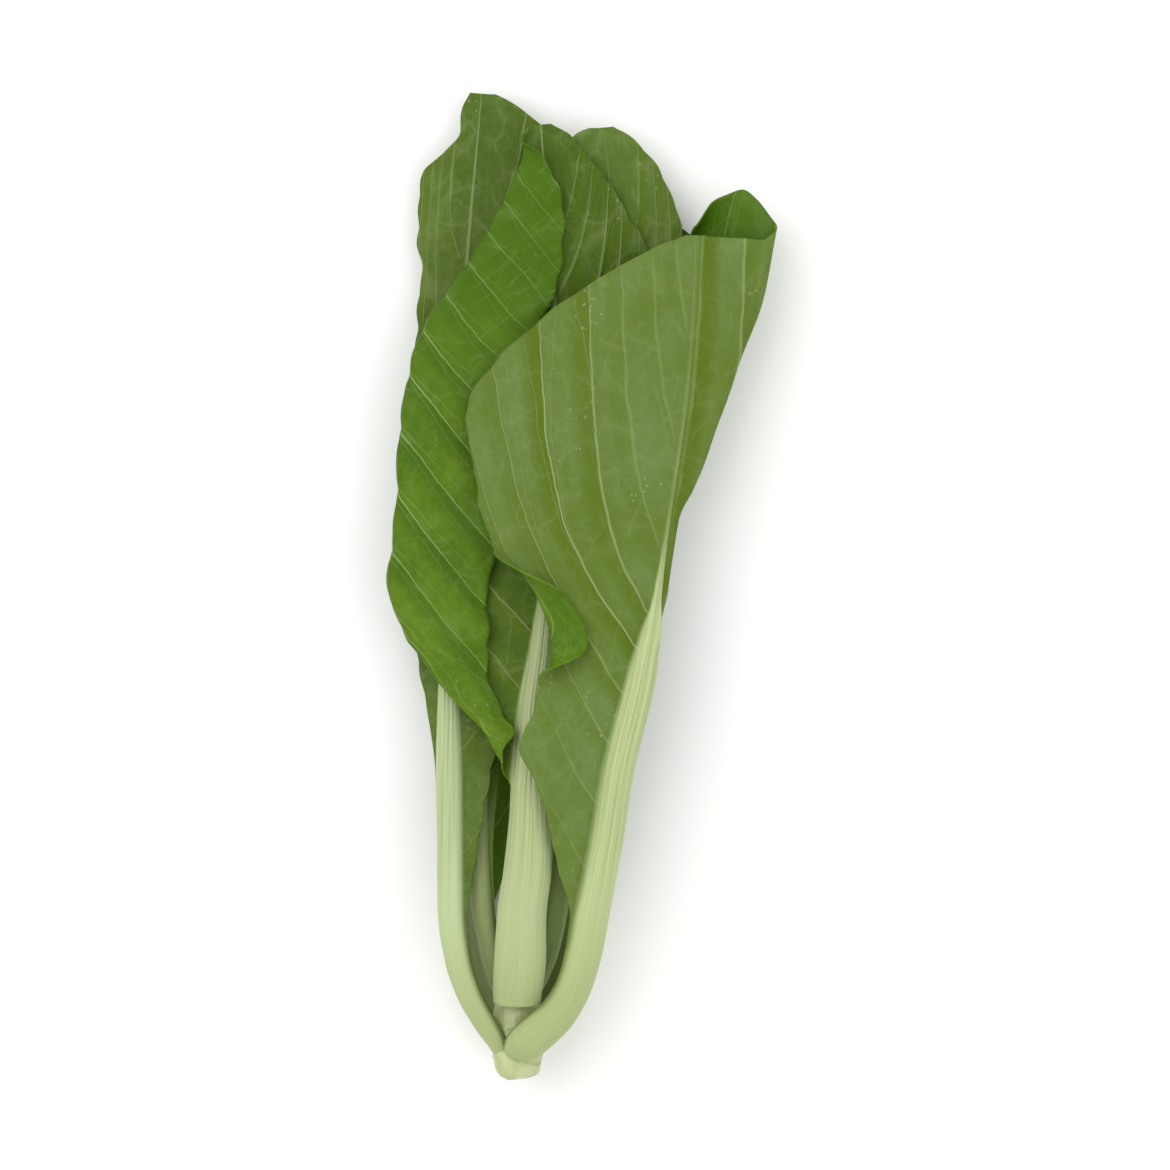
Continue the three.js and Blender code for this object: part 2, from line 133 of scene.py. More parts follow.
# Side veins run where veinPhase is whole. Between them lies a net of fine veins, drawn on the leaf's own map.
def buildVeinGroup():
    group, given, result = newGroup(
        "leafVeins",
        [("Phase", "Float"), ("Gap", "Float"), ("Outward", "Float"), ("Map", "Vector"), ("Width", "Float")],
        [("Veins", "Float"), ("Net", "Float"), ("ValleyShade", "Float"), ("Height", "Float")])
    wander = noise(group, stretched(group, given["Map"], (60, 60, 60)), 1.0, 3.0)
    sway = maths(group, "MULTIPLY", maths(group, "SUBTRACT", wander, 0.5), 0.2)
    part = maths(group, "FRACT", maths(group, "ADD", given["Phase"], sway))
    nearest = maths(group, "MINIMUM", part, maths(group, "SUBTRACT", 1.0, part))
    away = maths(group, "MULTIPLY", nearest, given["Gap"])
    half = maths(group, "MULTIPLY", given["Width"], ramp(group, given["Outward"], 0.0, 1.0, 1.0, 0.35))
    veins = ramp(group, maths(group, "DIVIDE", away, half), 1.15, 0.2)
    # the blade dips most on the side of a vein away from the midrib; that side is darkened there as painted
    # shade
    farSide = ramp(group, part, 0.42, 0.58, 0.25, 1.0)
    valleyShade = maths(group, "MULTIPLY", ramp(group, away, 8.0, 1.5), farSide)
    # the fork: a thinner branch leaves halfway between two veins on the outer half of the blade
    forked = maths(group, "ABSOLUTE", maths(group, "SUBTRACT", part, 0.5))
    forkPlace = ramp(group, given["Outward"], 0.35, 0.95, 0.5, 0.2)
    forkAway = maths(group, "ABSOLUTE", maths(group, "SUBTRACT", forked, forkPlace))
    fork = maths(group, "DIVIDE", maths(group, "MULTIPLY", forkAway, given["Gap"]), half)
    fork = ramp(group, fork, 0.7, 0.1)
    fork = maths(group, "MULTIPLY", fork, ramp(group, given["Outward"], 0.3, 0.6, 0.0, 0.35))
    bent = noise(group, stretched(group, given["Map"], (260, 260, 260)), 1.0, 2.0)
    warp = addNode(group, "ShaderNodeVectorMath", {0: given["Map"]}, operation="ADD")
    shift = addNode(group, "ShaderNodeCombineXYZ", {0: maths(group, "MULTIPLY", bent, 0.0035),
                                                   1: maths(group, "MULTIPLY", wander, 0.006)})
    group.links.new(shift.outputs[0], warp.inputs[1])
    net = None
    for scale, thin, share in ((120.0, 0.1, 0.8), (330.0, 0.12, 0.45)):
        drawn = stretched(group, warp.outputs[0], (1.0, 0.7, 1.0))
        cells = addNode(group, "ShaderNodeTexVoronoi", {"Vector": drawn})
        cells.feature = "DISTANCE_TO_EDGE"
        cells.inputs["Scale"].default_value = scale
        lines = ramp(group, cells.outputs["Distance"], thin, 0.0, 0.0, share)
        net = lines if net is None else maths(group, "MAXIMUM", net, lines)
    broken = ramp(group, noise(group, stretched(group, given["Map"], (110, 110, 110)), 1.0, 2.0), 0.35, 0.62)
    net = maths(group, "MULTIPLY", net, broken)
    veins = maths(group, "MAXIMUM", veins, fork)
    height = maths(group, "MAXIMUM", veins, maths(group, "MULTIPLY", net, 0.4))
    for label, value in (("Veins", veins), ("Net", net), ("ValleyShade", valleyShade), ("Height", height)):
        group.links.new(value, result.inputs[label])
    return group


# Long fine ridges and green lines that run up a stalk.
def buildStalkGroup():
    group, given, result = newGroup(
        "stalkRidges", [("Map", "Vector"), ("Fineness", "Float")], [("Ridges", "Float"), ("Lines", "Float")])
    across = addNode(group, "ShaderNodeVectorMath", {0: stretched(group, given["Map"], (1.0, 0.012, 1.0))},
                     operation="SCALE")
    group.links.new(given["Fineness"], across.inputs["Scale"])
    ridges = noise(group, across.outputs[0], 1.0, 2.0, 0.6)
    finer = noise(group, stretched(group, across.outputs[0], (2.6, 2.0, 1.0)), 1.0, 1.0)
    group.links.new(ramp(group, ridges, 0.32, 0.68), result.inputs["Ridges"])
    group.links.new(ramp(group, finer, 0.52, 0.72), result.inputs["Lines"])
    return group


# Changes of green over a blade, slow and fine, small pale flecks where moisture sits, painted as glints
# (painted highlights), and a few dark pits.
def buildMottleGroup():
    group, given, result = newGroup(
        "leafMottle", [("Place", "Vector")],
        [("Clouds", "Float"), ("Speckle", "Float"), ("GlintFlecks", "Float"), ("Pits", "Float")])
    clouds = noise(group, given["Place"], 34.0, 3.0, 0.55)
    speckle = noise(group, given["Place"], 420.0, 3.0, 0.6)
    dots = addNode(group, "ShaderNodeTexVoronoi", {"Vector": given["Place"], "Scale": 480.0})
    size = ramp(group, noise(group, given["Place"], 42.0, 4.0, 0.68), 0.45, 0.66, -0.12, 0.21)
    glintFlecks = ramp(group, maths(group, "SUBTRACT", dots.outputs["Distance"], size), 0.06, -0.16)
    pits = addNode(group, "ShaderNodeTexVoronoi", {"Vector": given["Place"], "Scale": 90.0})
    rare = ramp(group, noise(group, given["Place"], 33.0, 1.0), 0.6, 0.72, -0.1, 0.07)
    pits = ramp(group, maths(group, "SUBTRACT", pits.outputs["Distance"], rare), 0.03, -0.03)
    group.links.new(pits, result.inputs["Pits"])
    group.links.new(ramp(group, clouds, 0.32, 0.68), result.inputs["Clouds"])
    group.links.new(ramp(group, speckle, 0.3, 0.7), result.inputs["Speckle"])
    group.links.new(glintFlecks, result.inputs["GlintFlecks"])
    return group


veinGroup = buildVeinGroup()
stalkGroup = buildStalkGroup()
mottleGroup = buildMottleGroup()


def leafMaterial(name, look, outerSide):
    material = bpy.data.materials.new(name)
    material.use_nodes = True
    tree = material.node_tree
    tree.nodes.clear()
    read = lambda label: addNode(tree, "ShaderNodeAttribute", attribute_name=label).outputs["Fac"]
    leafMap = addNode(tree, "ShaderNodeUVMap", uv_map="leafMap").outputs[0]
    place = addNode(tree, "ShaderNodeTexCoord").outputs["Object"]
    mapParts = addNode(tree, "ShaderNodeSeparateXYZ", {0: leafMap}).outputs
    up = mapParts[1]
    fade = ramp(tree, up, look["ribFadeFrom"] * mm, look["ribFadeTo"] * mm, 1.0, look["ribAtTip"])
    stalk = maths(tree, "MULTIPLY", read("stalkShare"), fade)
    veins = useGroup(tree, veinGroup, {
        "Phase": read("veinPhase"), "Gap": read("veinGap"), "Outward": read("outward"), "Map": leafMap,
        "Width": look["veinWidth"]})
    ridges = useGroup(tree, stalkGroup, {"Map": leafMap, "Fineness": look["ridges"]})
    ribbed = ramp(tree, up, 0.035, 0.09, 0.3, 1.0)
    mottle = useGroup(tree, mottleGroup, {"Place": place})
    offStalk = maths(tree, "SUBTRACT", 1.0, stalk, clamp=True)

    strength = read("veinStrength")
    speckled = maths(tree, "MULTIPLY", mottle["Speckle"], look["speckle"])
    tone = maths(tree, "ADD", maths(tree, "MULTIPLY", mottle["Clouds"], 1.0 - look["speckle"]), speckled)
    tone = maths(tree, "MULTIPLY", tone, ramp(tree, up, 0.19, 0.25, 1.0, look["toneAtTip"]))
    colour = blend(tree, tone, look["bladeDark"], look["bladePale"])
    # painted shade: the blade is darkened in the dip on the far side of each side vein
    dipShade = maths(tree, "MULTIPLY", maths(tree, "MULTIPLY", veins["ValleyShade"], strength), look["valleyShade"])
    colour = blend(tree, dipShade, colour, look["valleyShadeColour"])
    colour = blend(tree, maths(tree, "MULTIPLY", veins["Net"], look["net"]), colour, look["veinColour"])
    line = maths(tree, "MULTIPLY", maths(tree, "MULTIPLY", veins["Veins"], strength), look["veins"])
    # no side vein is drawn on the midrib itself
    offMidrib = ramp(tree, maths(tree, "ABSOLUTE", mapParts[0]), 0.001, 0.0028, 0.1, 1.0)
    line = maths(tree, "MULTIPLY", line, offMidrib)
    colour = blend(tree, line, colour, look["veinColour"])
    colour = blend(tree, maths(tree, "MULTIPLY", mottle["Pits"], 0.7), colour, look["pitColour"])
    # painted highlight: the pale glints of moisture drops are painted into the colour
    colour = blend(tree, maths(tree, "MULTIPLY", mottle["GlintFlecks"], look["glintFlecks"]), colour, look["glintFleckColour"])
    footColour = blend(tree, ramp(tree, up, look["footFrom"] * mm, look["footTo"] * mm),
                       look["footColour"], look["stalkColour"])
    grooves = maths(tree, "MULTIPLY", maths(tree, "MULTIPLY", ridges["Ridges"], ribbed), 0.5)
    lines = maths(tree, "MULTIPLY", maths(tree, "MULTIPLY", ridges["Lines"], ribbed), 0.25)
    stalkColour = blend(tree, grooves, footColour, look["grooveColour"])
    stalkColour = blend(tree, lines, stalkColour, look["bladePale"])
    colour = blend(tree, stalk, colour, stalkColour)

    bladeHeight = maths(tree, "MULTIPLY", maths(tree, "MULTIPLY", veins["Height"], offStalk), strength)
    bladeHeight = maths(tree, "MULTIPLY", bladeHeight, 1.0 if outerSide else -1.0)
    grain = noise(tree, place, 900.0, 2.0)
    stalkHeight = maths(tree, "MULTIPLY", maths(tree, "MULTIPLY", ridges["Ridges"], stalk), ribbed)
    stalkHeight = maths(tree, "MULTIPLY", stalkHeight, -1.0)
    height = maths(tree, "ADD", bladeHeight, stalkHeight)
    height = maths(tree, "ADD", height, maths(tree, "MULTIPLY", grain, 0.22))
    bump = addNode(tree, "ShaderNodeBump", {"Height": height, "Strength": look["bump"], "Distance": 0.0005})

    rough = maths(tree, "ADD", look["roughness"], maths(tree, "MULTIPLY", grain, 0.16))
    rough = maths(tree, "SUBTRACT", rough, maths(tree, "MULTIPLY", stalk, look["roughness"] - 0.4))
    rough = maths(tree, "SUBTRACT", rough, maths(tree, "MULTIPLY", mottle["GlintFlecks"], 0.2))
    surface = addNode(tree, "ShaderNodeBsdfPrincipled", {
        "Base Color": colour, "Roughness": rough, "Normal": bump.outputs[0]})
    surface.inputs["Specular IOR Level"].default_value = look["gloss"]
    surface.inputs["Subsurface Weight"].default_value = 0.12
    surface.inputs["Subsurface Radius"].default_value = (0.6, 1.0, 0.3)
    surface.inputs["Subsurface Scale"].default_value = 0.002
    output = tree.nodes.new("ShaderNodeOutputMaterial")
    tree.links.new(surface.outputs[0], output.inputs[0])
    return material


# The value at y of keyed rows, through the keys without overshooting them.
def along(keys, y, column=1):
    at = np.array([key[0] for key in keys], float)
    value = np.array([key[column] for key in keys], float)
    slope = np.diff(value) / np.diff(at)
    before, after = slope[:-1], slope[1:]
    same = before * after > 0
    middle = np.where(same, 2 * before * after / np.where(same, before + after, 1), 0)
    tangent = np.concatenate([slope[:1], middle, slope[-1:]])
    y = np.clip(y, at[0], at[-1])
    k = np.clip(np.searchsorted(at, y, side="right") - 1, 0, len(at) - 2)
    span = at[k + 1] - at[k]
    f = (y - at[k]) / span
    ease = f * f * (3 - 2 * f)
    return (value[k] * (1 - ease) + value[k + 1] * ease
            + span * (tangent[k] * f * (1 - f) ** 2 - tangent[k + 1] * f * f * (1 - f)))


def smooth(x):
    x = np.clip(x, 0, 1)
    return x * x * (3 - 2 * x)


def unit(v):
    return v / np.linalg.norm(v, axis=-1, keepdims=True)


# A slow random surface over (y, distance), the same on each run.
def waves(seed, y, d, lengths, count=5):
    rng = np.random.default_rng(seed)
    total = np.zeros(np.broadcast(y, d).shape)
    for k in range(count):
        angle = rng.uniform(0, math.pi)
        length = rng.uniform(*lengths)
        travelled = y * math.cos(angle) + d * math.sin(angle)
        total += np.sin(travelled * 2 * math.pi / length + rng.uniform(0, 6.28))
    return total / math.sqrt(count)


# Side veins leave the midrib at y0, set off at a slope, and bend up the blade, never passing `spread`.
# The last number says how strongly a vein shows.
def veinList(half, bladeFrom, tip, seed):
    if "veins" in half:
        return half["veins"]
    rng = np.random.default_rng(seed)
    widest = max(key[1] for key in half["reach"])
    count = half.get("veinCount", 6)
    found = []
    for k in range(-2, count):
        share = k / count
        y0 = bladeFrom + (tip - bladeFrom) * 0.93 * share + rng.uniform(-3, 3)
        slope = 0.95 - 0.25 * share + rng.uniform(-0.08, 0.08)
        found.append([y0, widest * 1.25 * (1 - 0.75 * share), slope, rng.uniform(0.35, 1.0)])
    return found


def veinField(half, y, d, bladeFrom, tip, seed):
    curves = veinList(half, bladeFrom, tip, seed)
    starts = np.array([curve[0] for curve in curves])
    strengths = np.array([curve[3] for curve in curves])
    knots = np.append(starts, max(tip, starts[-1]) + 30)
    if half.get("veinsTurnBack"):
        foldAt = along(half["fold"], y[:, 0], 2)[:, None]
        d = np.where(d > foldAt, 2 * foldAt - d, d)
    phase = np.zeros(d.shape)
    gap = np.ones(d.shape)
    for i, rowY in enumerate(y[:, 0]):
        origin = np.interp(rowY, knots, np.arange(len(knots))) + 0.02
        at, value = [0.0], [origin]
        for k in range(min(int(math.floor(origin)), len(curves) - 1), -1, -1):
            y0, spread, slope = curves[k][:3]
            reached = spread * (1 - math.exp(-(rowY - y0) * slope / spread))
            if reached > at[-1] + 0.4:
                at.append(reached)
                value.append(k)
        at.append(at[-1] + 16)
        value.append(value[-1] - 1)
        phase[i] = np.interp(d[i], at, value) - np.minimum(d[i], 0) * (value[0] - value[-1]) / at[-1]
        middles = (np.array(at[1:]) + np.array(at[:-1])) / 2
        steps = np.diff(at) / np.maximum(np.abs(np.diff(value)), 0.05)
        gap[i] = np.clip(np.interp(d[i], middles, steps) * 0.8, 1, 40)
    return phase, gap, np.interp(phase, np.arange(len(curves)), strengths)


# Turns the sheet's distances into steps sideways and outwards.
def unrolled(half, y, d):
    reach = along(half["reach"], y)
    bow = np.radians(along(half["bow"], y))
    middle = (d[:, 1:] + d[:, :-1]) / 2
    turn = bow * middle / reach
    if "fold" in half:
        fold = np.radians(along(half["fold"], y, 1))
        foldLength = np.maximum(0.5, np.abs(fold) * half["foldRadius"])
        turn = turn + fold * smooth((middle - along(half["fold"], y, 2)) / foldLength)
    step = np.diff(d, axis=1)
    nothing = np.zeros((len(y), 1))
    across = np.concatenate([nothing, np.cumsum(np.cos(turn) * step, axis=1)], axis=1)
    outwards = np.concatenate([nothing, np.cumsum(-np.sin(turn) * step, axis=1)], axis=1)
    return across, outwards


def halfSheet(leaf, side, y, share, seed, stalkSeed):
    half = leaf[side]
    reach = along(half["reach"], y)
    rib = along(leaf["rib"], y)
    bladeShare = smooth((reach - rib * 1.25) / 8)
    teeth = 0.5 * np.abs(np.sin(y * math.pi / leaf["toothLength"] + seed)) ** 1.5
    teeth = (teeth + 0.25 * waves(seed + 5, y, 0 * y, (5, 14))) * leaf["toothDepth"]
    d = (reach + teeth * bladeShare) * share ** 1.25
    across, outwards = unrolled(half, y, d)
    lift = np.zeros(d.shape)
    if "lift" in half:
        lift = along(half["lift"]["rise"], d) * smooth((y - half["lift"]["from"]) / 30)
    phase, gap, strength = veinField(half, y, d, leaf["bladeFrom"], leaf["spine"][-1][0], seed)
    edge = reach - d
    offRib = smooth((d - rib * 1.1) / 6)
    pillow = -leaf["pillow"] * np.abs(np.sin(math.pi * phase)) ** 0.8 * smooth(gap / 9) * smooth(edge / 5)
    pillow = pillow * offRib * strength
    ruffle = leaf["ruffle"] * smooth(1 - edge / leaf["ruffleDepth"]) * waves(seed + 1, y, 0 * d, (14, 34), 4)
    slow = leaf["swell"] * waves(seed + 2, y, d, (40, 90), 4)
    stalkWave = 0.25 * (1 - offRib) * waves(stalkSeed, y, 0 * d, (35, 80), 3)
    return {"across": across, "outwards": outwards, "lift": lift, "phase": phase, "gap": gap, "distance": d,
            "out": d / reach, "strength": strength,
            "bend": pillow + (ruffle + slow) * offRib * bladeShare + stalkWave}


def leafSurfaces(leaf, seed):
    first, last = leaf["spine"][0][0], leaf["spine"][-1][0]
    f = np.linspace(0, 1, leaf["rowsFine"] + 1)[:, None]
    y = first + (last - first) * (f + 0.35 * f * (1 - f))
    share = np.linspace(0, 1, leaf["columnsFine"] + 1)[None, :]
    left = halfSheet(leaf, "left", y, share, seed, seed + 3)
    right = halfSheet(leaf, "right", y, share, seed + 20, seed + 3)
    joined = {key: np.concatenate([left[key][:, :0:-1], right[key]], axis=1) for key in left}
    sign = np.concatenate([-np.ones(leaf["columnsFine"]), np.zeros(1), np.ones(leaf["columnsFine"])])[None, :]

    point = lambda v: np.concatenate([along(leaf["spine"], v, 1), v, along(leaf["spine"], v, 2)], axis=1)
    ahead = unit(point(np.minimum(y + 1, last)) - point(np.maximum(y - 1, first)))
    roll = np.radians(along(leaf["spine"], y, 3))
    out = np.concatenate([np.sin(roll), 0 * roll, np.cos(roll)], axis=1)
    out = unit(out - ahead * np.sum(out * ahead, axis=1, keepdims=True))
    side = np.cross(ahead, out)
    sheet = (point(y)[:, None] + side[:, None] * (sign * joined["across"])[..., None]
             + out[:, None] * joined["outwards"][..., None] + ahead[:, None] * joined["lift"][..., None])

    def normals(grid):
        return unit(np.cross(np.gradient(grid, axis=1), np.gradient(grid, axis=0)))

    sheet = sheet + normals(sheet) * joined["bend"][..., None]
    normal = normals(sheet)
    rib = along(leaf["rib"], y)
    rise = np.clip(1 - (joined["distance"] / rib) ** 2, 0, 1)
    ridge = np.abs(np.sin(joined["distance"] / rib * math.pi * leaf["ridgeCount"] / 2))
    ridge = 0.5 * ridge * smooth(rib / 4) * (0.2 + 0.8 * smooth((y - first - 30) / 45))
    nearVein = np.abs(joined["phase"] - np.round(joined["phase"])) * joined["gap"]
    veinRise = 0.3 * np.exp(-(nearVein / 0.7) ** 2) * smooth((joined["distance"] - rib) / 2)
    veinRise = veinRise * (1.1 - joined["out"]) * joined["strength"]
    thick = leaf["thickness"] / 2
    ribHeight = leaf["ribDepth"] * rib * smooth(rib / 2.4)
    outer = thick + ribHeight * rise ** 0.6 - ridge * rise ** 0.5 * 0.5 + veinRise
    inner = thick - 0.35 * np.exp(-(joined["distance"] / (rib * 0.6)) ** 2) * (rib > 2.5) * 0.5
    skins = {"outer": sheet + normal * outer[..., None], "inner": sheet - normal * inner[..., None]}
    skins["outer"][..., 2] = np.maximum(skins["outer"][..., 2], 0.02)
    skins["inner"][..., 2] = np.maximum(skins["inner"][..., 2], 0.02 + thick)
    stalkEdge = rib * leaf.get("stalkSpread", 1.08) - 0.35 * smooth(3 - rib)
    stalk = smooth((stalkEdge - joined["distance"]) / np.maximum(rib * 0.3, 0.4))
    pattern = {"veinPhase": joined["phase"], "veinGap": joined["gap"], "veinStrength": joined["strength"],
               "outward": np.clip(joined["out"], 0, 1), "stalkShare": stalk}
    flat = np.stack([sign * joined["distance"], np.broadcast_to(y, joined["distance"].shape)], axis=-1) * mm
    return skins, pattern, flat


# A grid is added and extruded once, so that it has two skins and a rim. Then every point is put in its place.
def makeLeaf(name, leaf, seed):
    skins, pattern, flat = leafSurfaces(leaf, seed)
    rows, columns = skins["outer"].shape[:2]
    deselectAll()
    bpy.ops.mesh.primitive_grid_add(x_subdivisions=columns - 1, y_subdivisions=rows - 1, size=1)
    piece = bpy.context.object
    piece.name = name + "_leaf"
    piece.data.name = piece.name
    bpy.ops.object.mode_set(mode="EDIT")
    bpy.ops.mesh.select_all(action="SELECT")
    bpy.ops.mesh.extrude_region_move(TRANSFORM_OT_translate={"value": (0, 0, 1)})
    bpy.ops.object.mode_set(mode="OBJECT")
    mesh = piece.data
    count = len(mesh.vertices)
    start = np.empty(count * 3)
    mesh.vertices.foreach_get("co", start)
    start = start.reshape(-1, 3)
    j = np.rint((start[:, 0] + 0.5) * (columns - 1)).astype(int)
    i = np.rint((start[:, 1] + 0.5) * (rows - 1)).astype(int)
    outerSkin = start[:, 2] > 0.5
    placed = np.where(outerSkin[:, None], skins["outer"][i, j], skins["inner"][i, j]) * mm + headPlace
    mesh.vertices.foreach_set("co", placed.ravel())
    for label, values in pattern.items():
        layer = mesh.attributes.new(label, "FLOAT", "POINT")
        layer.data.foreach_set("value", values[i, j].astype(np.float32))
    corner = np.empty(len(mesh.loops), int)
    mesh.loops.foreach_get("vertex_index", corner)
    leafMap = mesh.uv_layers.new(name="leafMap")
    leafMap.data.foreach_set("uv", flat[i, j][corner].astype(np.float32).ravel())
    outerLook = {**commonLook, **underLook, **leaf["look"]["outer"]}
    innerLook = {**commonLook, **topLook, **leaf["look"]["inner"]}
    mesh.materials.append(leafMaterial(name + "Outer", outerLook, True))
    mesh.materials.append(leafMaterial(name + "Inner", innerLook, False))
    isOuter = np.add.reduceat(outerSkin[corner].astype(int), np.arange(0, len(corner), 4)) == 4
    mesh.polygons.foreach_set("material_index", np.where(isOuter, 0, 1).astype(int))
    mesh.polygons.foreach_set("use_smooth", np.ones(len(mesh.polygons), bool))
    mesh.update()
    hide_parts(name)
    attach(piece, "root")
    print("leaf made:", name, len(mesh.polygons) * 2, "triangles")


# What all the leaves share, then what their outer and inner sides have of their own.
commonLook = {
    "veinWidth": 0.55, "valleyShade": 0.95, "net": 0.13, "veins": 0.75, "speckle": 0.35, "toneAtTip": 1.0,
    "ribFadeFrom": 120, "ribFadeTo": 190, "ribAtTip": 0.35, "ridges": 900.0, "bump": 0.6,
    "footFrom": 12, "footTo": 55, "footColour": (0.36, 0.42, 0.19), "stalkColour": (0.415, 0.475, 0.25),
    "grooveColour": (0.28, 0.36, 0.13), "pitColour": (0.035, 0.07, 0.008), "glintFleckColour": (0.5, 0.56, 0.38),
}
underLook = {
    "bladePale": (0.132, 0.2, 0.056), "bladeDark": (0.103, 0.16, 0.018),
    "valleyShadeColour": (0.083, 0.135, 0.004), "veinColour": (0.3, 0.37, 0.15),
    "glintFlecks": 0.34, "roughness": 0.6, "gloss": 0.13,
}
topLook = {
    "bladePale": (0.115, 0.2, 0.008), "bladeDark": (0.055, 0.125, 0.002),
    "valleyShadeColour": (0.04, 0.1, 0.002), "veinColour": (0.27, 0.38, 0.12), "veinWidth": 0.7, "valleyShade": 0.6,
    "glintFlecks": 0.2, "toneAtTip": 0.1, "roughness": 0.42, "gloss": 0.1,
}


# The big leaf on the right. Its outer side faces up, a lobe at its foot curls over, and its
# right side is turned down and back under the rest, so that it shows again above the top edge.
outerLeafRight = {
    "ribDepth": 0.85,
    "spine": [[8, -1, 21, 14], [10, 1.4, 29, 18], [14, 6, 29.6, 30], [20, 12.2, 29.8, 39], [29, 17, 31.6, 40],
      [39, 19.9, 33.2, 38],
      [50, 22, 34.6, 36], [74, 26.6, 37, 30], [92, 29.6, 38.2, 27], [120, 36.5, 38.6, 20],
      [141, 41, 37.6, 15], [169, 45.5, 35.4, 11], [207, 51, 32.4, 8], [232, 53, 30.8, 7], [254, 54, 29, 6]],
    "rib": [[8, 3.0], [10, 5.4], [14, 5.9], [20, 5.8], [50, 5.7], [92, 5.3], [120, 4.7], [133, 3.3],
      [146, 1.6], [170, 0.9], [254, 0.6]],
    "left": {
      "veins": [[58, 170, 0.9, 0.3], [78, 130, 1.05, 0.35], [96, 100, 1.15, 0.45], [112, 74, 1.25, 0.6],
                [126.7, 50, 1.33, 1.0], [136.8, 34, 0.88, 0.75], [158, 24, 0.7, 0.3], [188, 15, 0.5, 0.22],
                [222, 8, 0.4, 0.25], [262, 3, 0.3, 0.2]],
      "reach": [[8, 4.6], [10, 5.6], [14, 6.1], [20, 6], [30, 5.8], [48, 6.4], [64, 14], [74, 18],
        [86, 23.5], [94, 31],
        [103, 29], [110, 29],
        [118, 34],
        [128, 41], [141, 48], [150, 50], [158, 54], [166, 57.5], [176, 61], [196, 65.5], [213, 56.5],
        [229, 42.5], [236, 33], [245, 19.5], [250, 12], [254, 3]],
      "bow": [[10, 34], [50, 30], [92, 20], [141, 24], [254, 20]],
      "fold": [[110, 0, 26], [119, -120, 25], [126, -184, 26], [137, -184, 32.5], [144, -90, 39.5],
        [151, 0, 45]],
      "foldRadius": 1.9,
    },
    "right": {
      "veins": [[90, 40, 1.0, 0.4], [112, 26, 0.9, 0.5], [132, 15, 0.7, 0.6], [150, 0.6, 0.5, 1.0]],
      "reach": [[8, 4.6], [10, 5.6], [14, 6.1], [30, 5.9], [100, 5], [120, 4], [140, 4.5], [152, 11],
        [169, 20], [190, 29], [218, 40],
        [236, 48], [254, 52]],
      "bow": [[10, 34], [50, 30], [141, 24], [254, 20]],
      "fold": [[130, 0, 0.5], [142, 66, 0.5], [150, 88, 0.5], [169, 88, 0.8], [178, 90, 3.4], [190, 92, 6.8],
        [204, 96, 9.8], [218, 102, 12], [240, 135, 19], [254, 155, 21]],
      "foldRadius": 3.6,
      "lift": { "rise": [[21, 0], [28, 7], [33, 13], [37.5, 16], [42, 14.5], [47, 12], [52, 4]],
        "from": 215 },
    },
    "bladeFrom": 60, "rowsFine": 330, "columnsFine": 74, "ribDepth": 0.85, "ridgeCount": 7,
    "thickness": 0.55, "pillow": 0.5, "swell": 0.9, "ruffle": 0.9, "ruffleDepth": 14, "toothDepth": 1.0,
    "toothLength": 13,
    "look": {"outer": {"footTo": 70, "stalkColour": (0.45, 0.52, 0.26), "ribFadeFrom": 138, "ribFadeTo": 175,
                       "ribAtTip": 0.3},
             "inner": {}},
}
makeLeaf("outer_leaf_right", outerLeafRight, 3)


